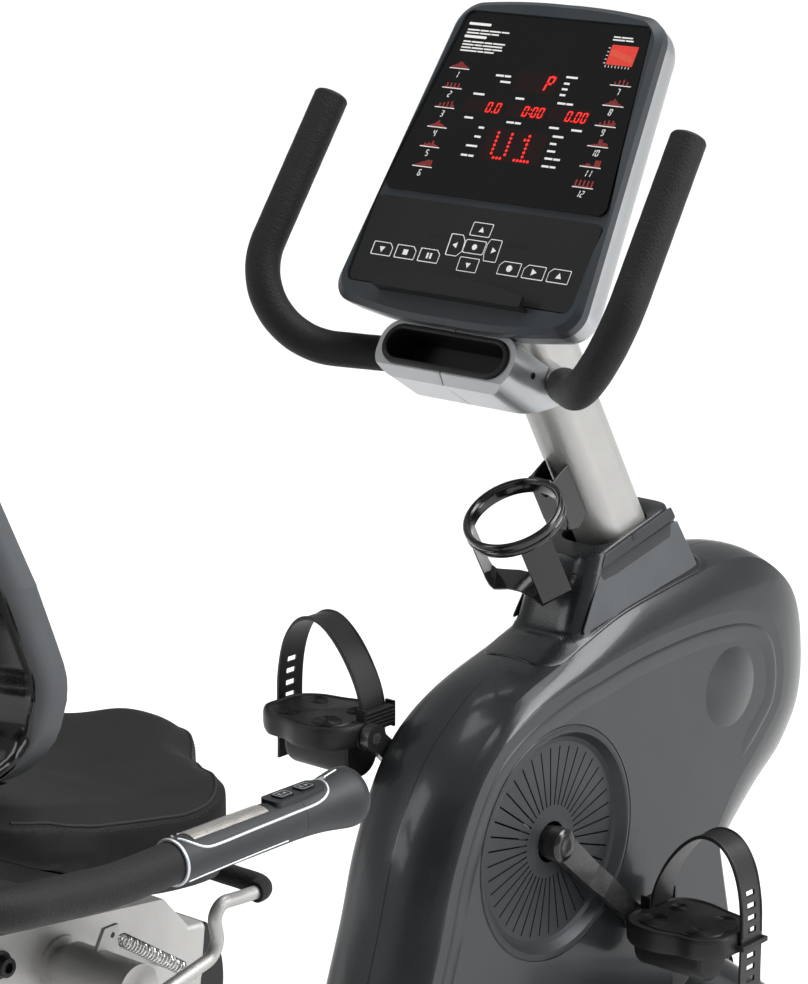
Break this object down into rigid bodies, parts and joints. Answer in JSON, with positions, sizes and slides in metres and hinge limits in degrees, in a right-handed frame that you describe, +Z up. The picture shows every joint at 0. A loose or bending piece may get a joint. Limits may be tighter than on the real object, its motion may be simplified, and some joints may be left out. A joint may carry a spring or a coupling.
{
  "type": "recumbent exercise bike",
  "caption": "Recumbent exercise bike with a shrouded crank drive, sliding bucket seat, tilted console on a leaning mast and low step-through beam.",
  "frame": {"origin": "on the floor, under the middle of the overall length, on the centre plane", "axes": "+X forward, the way the rider faces; +Y to the rider's left; +Z up"},
  "size_m": [1.6154, 0.58, 1.1654],
  "materials": {
    "frame_silver": "hammered satin paint",
    "frame_black": "gloss black paint",
    "steel": "machined steel",
    "cast_iron": "as cast",
    "shroud": "dark grey metallic satin plastic",
    "cover_grey": "satin grey plastic",
    "collar": "glossy dark grey plastic",
    "bezel": "slate grey satin plastic",
    "pod_silver": "silver paint on plastic",
    "black_plastic": "textured black plastic",
    "gloss_black": "glossy black plastic",
    "screen": "tinted display window",
    "foam": "textured closed-cell foam",
    "rubber": "black rubber",
    "strap": "moulded strap",
    "vinyl": "charcoal vinyl upholstery",
    "grip_slate": "slate grey moulded grip",
    "zinc": "zinc plated"
  },
  "bodies": {
    "frame": {"base_beam": "frame_silver", "front_stabiliser": "frame_silver", "rear_stabiliser": "frame_silver", "foot_caps": "black_plastic", "front_cover": "shroud", "rear_upright": "frame_silver", "seat_rail": "frame_silver", "rail_caps": "black_plastic", "shroud_left": "shroud", "shroud_right": "shroud", "crank_covers": "cover_grey", "drive_frame": "frame_black", "bearings": "steel", "flywheel_axle": "steel", "drive_belt": "rubber", "brake_magnets": "frame_black", "mast": "frame_silver", "mast_collar": "collar", "cup_holder": "gloss_black", "console_housing": "pod_silver", "console_bezel": "bezel", "console_screen": "screen", "console_keypad": "screen", "console_ledge": "bezel", "pod_left": "pod_silver", "pod_right": "pod_silver", "pod_tray": "black_plastic", "handlebar": "frame_silver", "handlebar_foams": "foam"},
    "crank": {"crank_axle": "steel", "crank_pulley": "black_plastic", "crank_arm_left": "frame_black", "crank_arm_right": "frame_black", "pedal_spindles": "steel"},
    "pedal_left": {"pedal_left": "black_plastic", "pedal_strap_left": "strap"},
    "pedal_right": {"pedal_right": "black_plastic", "pedal_strap_right": "strap"},
    "flywheel": {"flywheel": "cast_iron"},
    "wheel_left": {"transport_wheel_left": "rubber"},
    "wheel_right": {"transport_wheel_right": "rubber"},
    "seat": {"carriage": "frame_silver", "glide_pads": "black_plastic", "seat_pan": "black_plastic", "seat_cushion": "vinyl", "backrest_frame": "frame_silver", "backrest_shell": "bezel", "backrest_cushion": "vinyl", "seat_bar": "frame_silver", "seat_bar_foams": "foam", "seat_grips": "grip_slate", "pulse_plates": "steel", "lever_spring": "zinc"},
    "lever": {"seat_lever": "frame_silver", "lever_foam": "foam"},
    "shoe": {"lock_shoe": "rubber"},
    "key_down_left": {"key_down_left": "black_plastic"},
    "key_up_left": {"key_up_left": "black_plastic"},
    "key_down_right": {"key_down_right": "black_plastic"},
    "key_up_right": {"key_up_right": "black_plastic"}
  },
  "joints": [
    {"name": "crank_spin", "type": "hinge", "parent": "frame", "child": "crank", "pos_m": [0.344, 0, 0.335], "axis": [0, 1, 0], "continuous": true},
    {"name": "flywheel_spin", "type": "hinge", "parent": "frame", "child": "flywheel", "pos_m": [0.64, 0, 0.429], "axis": [0, 1, 0], "continuous": true},
    {"name": "pedal_right_spin", "type": "hinge", "parent": "crank", "child": "pedal_right", "pos_m": [0.46974, -0.13, 0.22059], "axis": [0, 1, 0], "continuous": true},
    {"name": "pedal_left_spin", "type": "hinge", "parent": "crank", "child": "pedal_left", "pos_m": [0.21826, 0.13, 0.44941], "axis": [0, 1, 0], "continuous": true},
    {"name": "wheel_left_spin", "type": "hinge", "parent": "frame", "child": "wheel_left", "pos_m": [0.668, 0.231, 0.032], "axis": [0, 1, 0], "continuous": true},
    {"name": "wheel_right_spin", "type": "hinge", "parent": "frame", "child": "wheel_right", "pos_m": [0.668, -0.231, 0.032], "axis": [0, 1, 0], "continuous": true},
    {"name": "seat_slide", "type": "slide", "parent": "frame", "child": "seat", "axis": [0.9925, 0, -0.1219], "range_m": [-0.15, 0.06]},
    {"name": "lever_pull", "type": "hinge", "parent": "seat", "child": "lever", "pos_m": [-0.346, -0.12, 0.42], "axis": [0, -1, 0], "range_deg": [0, 8], "stiffness_Nm_per_rad": 6, "springref_deg": -14.32, "deforming": ["lever_spring"]},
    {"name": "shoe_lift", "type": "slide", "parent": "seat", "child": "shoe", "axis": [0.1219, 0, 0.9925], "range_m": [0, 0.004]},
    {"name": "key_down_left_press", "type": "slide", "parent": "seat", "child": "key_down_left", "axis": [0, 0, -1], "range_m": [0, 0.0012], "stiffness_N_per_m": 600, "springref_m": -0.001},
    {"name": "key_up_left_press", "type": "slide", "parent": "seat", "child": "key_up_left", "axis": [0, 0, -1], "range_m": [0, 0.0012], "stiffness_N_per_m": 600, "springref_m": -0.001},
    {"name": "key_down_right_press", "type": "slide", "parent": "seat", "child": "key_down_right", "axis": [0, 0, -1], "range_m": [0, 0.0012], "stiffness_N_per_m": 600, "springref_m": -0.001},
    {"name": "key_up_right_press", "type": "slide", "parent": "seat", "child": "key_up_right", "axis": [0, 0, -1], "range_m": [0, 0.0012], "stiffness_N_per_m": 600, "springref_m": -0.001}
  ],
  "couplings": [
    {"joint": "flywheel_spin", "follows": "crank_spin", "ratio": 3.9583},
    {"joint": "shoe_lift", "follows": "lever_pull", "m_per_rad": 0.028075}
  ]
}
